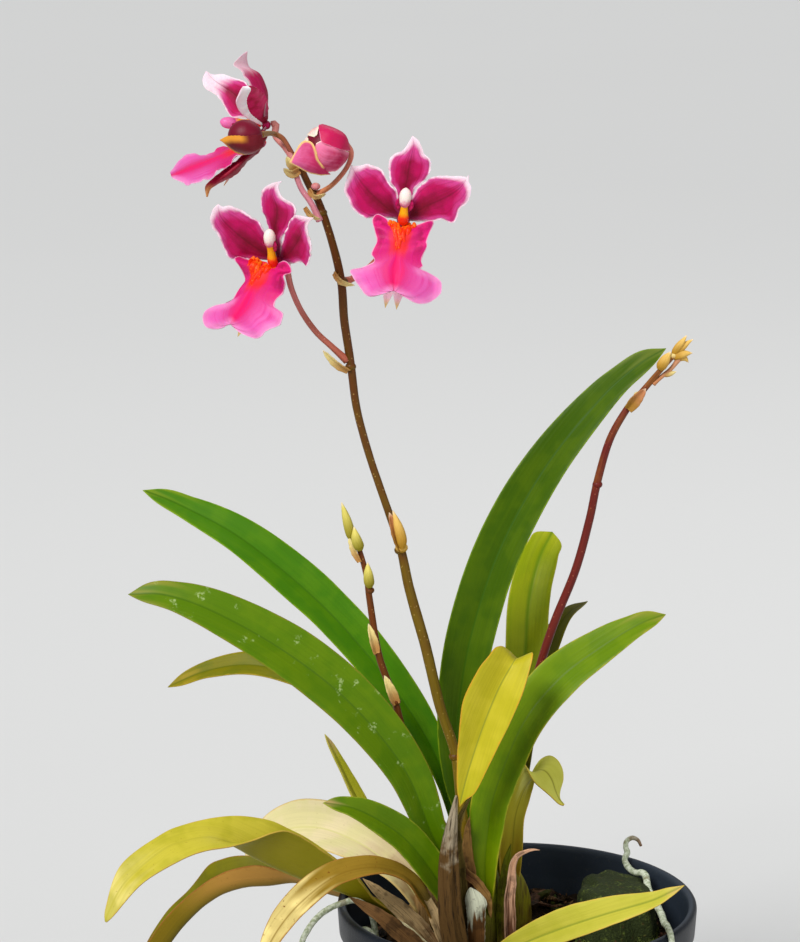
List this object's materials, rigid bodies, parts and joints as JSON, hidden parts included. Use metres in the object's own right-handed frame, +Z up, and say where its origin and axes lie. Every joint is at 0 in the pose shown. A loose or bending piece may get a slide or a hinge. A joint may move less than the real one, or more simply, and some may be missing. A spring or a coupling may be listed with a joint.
{
  "type": "potted orchid plant",
  "caption": "Small hybrid orchid with strap leaves, pseudobulbs and an arching spike of crimson and pink flowers, rooted in bark in a round black nursery pot.",
  "frame": {"origin": "centre of the pot's flat underside", "axes": "+Z up along the pot's axis, -Y towards the side the flowers face, +X to the right seen from that side"},
  "size_m": [0.1953, 0.1261, 0.3898],
  "materials": {
    "pot_plastic": "satin",
    "bark": "matte",
    "moss": "matte",
    "rhizome": "matte",
    "bulb_green": "satin",
    "bulb_dry": "matte",
    "leaf_green": "satin",
    "leaf_yellow": "satin",
    "leaf_dry": "matte",
    "sheath_brown": "matte",
    "sheath_paper": "matte",
    "stem_brown": "satin",
    "stem_red": "satin",
    "tepal": "satin",
    "lip": "satin",
    "column": "satin",
    "root": "matte"
  },
  "bodies": {
    "root": {"pot": "pot_plastic", "substrate": "bark", "moss_mound": "moss", "rhizome": "rhizome", "bulb_main": "bulb_green", "bulb_dry": "bulb_dry", "bulb_left": "bulb_dry", "bulb_back": "bulb_green", "bulb_front": "bulb_green", "leaf_left_upper": "leaf_green", "leaf_left_lower": "leaf_green", "leaf_right_upper": "leaf_green", "leaf_right_lower": "leaf_green", "leaf_left_short": "leaf_green", "leaf_front_yellow": "leaf_yellow", "leaf_back_tall": "leaf_yellow", "leaf_back_bent": "leaf_yellow", "leaf_back_curled": "leaf_yellow", "leaf_left_edge": "leaf_yellow", "leaf_far_left": "leaf_yellow", "leaf_yellow_twisted": "leaf_yellow", "leaf_amber_front": "leaf_yellow", "leaf_front_right": "leaf_yellow", "leaf_dry_pale": "leaf_dry", "leaf_tan_hanging": "leaf_dry", "sheath_dry_curl": "sheath_brown", "sheath_olive": "bulb_green", "sheath_paper": "sheath_paper", "sheath_strip": "sheath_brown", "sheath_left_brown": "sheath_brown", "sheath_low_brown": "sheath_brown", "spike_main": "stem_brown", "spike_short": "stem_brown", "spike_right": "stem_red", "bloom_right_tepals": "tepal", "bloom_right_lip": "lip", "bloom_right_column": "column", "bloom_left_tepals": "tepal", "bloom_left_lip": "lip", "bloom_left_column": "column", "bloom_top_tepals": "tepal", "bloom_top_lip": "lip", "bloom_top_column": "column", "bud_opening": "tepal", "bud_closed": "tepal", "root_left": "root", "root_loop": "root", "root_right": "root"}
  },
  "joints": []
}
